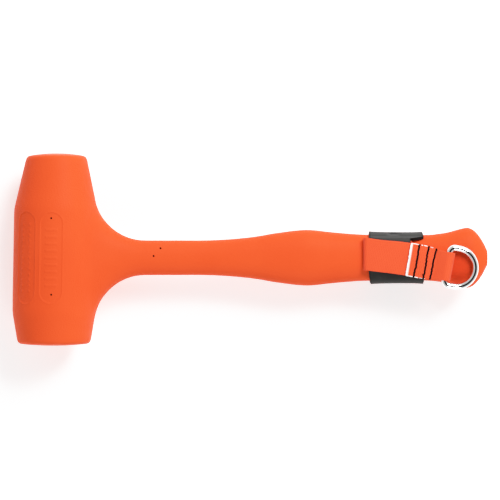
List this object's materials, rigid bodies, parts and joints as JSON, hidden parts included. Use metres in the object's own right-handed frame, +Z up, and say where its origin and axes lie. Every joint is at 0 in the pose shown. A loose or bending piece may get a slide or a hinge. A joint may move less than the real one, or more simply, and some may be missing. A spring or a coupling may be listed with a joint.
{
  "type": "dead blow mallet",
  "caption": "Dead blow mallet: shot-filled steel canister and rod cast in orange urethane, crowned faces, oval grip, and a webbing tool tether with a D-ring at the butt.",
  "frame": {"origin": "on the surface that the barrel rests on, under the middle of the lying mallet's bounding box", "axes": "+X along the handle from the head to the butt, +Y along the head towards the narrow striking face, +Z up, to the side that carries the tether"},
  "size_m": [0.362, 0.1466, 0.0634],
  "materials": {
    "urethane": "satin",
    "canister_steel": "satin",
    "shot_steel": "satin",
    "rod_steel": "satin",
    "weld_steel": "matte",
    "sleeve_rubber": "satin",
    "webbing": "matte",
    "webbing_end": "matte",
    "thread": "matte",
    "ring_chrome": "polished"
  },
  "bodies": {
    "root": {"moulded_body": "urethane", "canister_tube": "canister_steel", "canister_cap_narrow": "canister_steel", "canister_cap_wide": "canister_steel", "handle_rod": "rod_steel", "rod_weld": "weld_steel", "tether_sleeve": "sleeve_rubber", "webbing_anchor": "webbing", "webbing_fold": "webbing"},
    "shot": {"shot_charge": "shot_steel"},
    "strap": {"webbing_strap": "webbing", "webbing_end_seal": "webbing_end", "stitch_row_first": "thread", "stitch_row_second": "thread", "stitch_row_third": "thread"},
    "ring": {"d_ring": "ring_chrome"}
  },
  "joints": [
    {"name": "shot_slide", "type": "slide", "parent": "root", "child": "shot", "axis": [0, 1, 0], "range_m": [0, 0.021]},
    {"name": "strap_lift", "type": "hinge", "parent": "root", "child": "strap", "pos_m": [0.0889, -0.00355, 0.04699], "axis": [0, -1, 0], "range_deg": [0, 150], "deforming": ["webbing_fold"]},
    {"name": "ring_swing", "type": "hinge", "parent": "strap", "child": "ring", "pos_m": [0.14905, -0.01372, 0.04859], "axis": [-0.1668, -0.986, 0], "range_deg": [0, 160]}
  ]
}
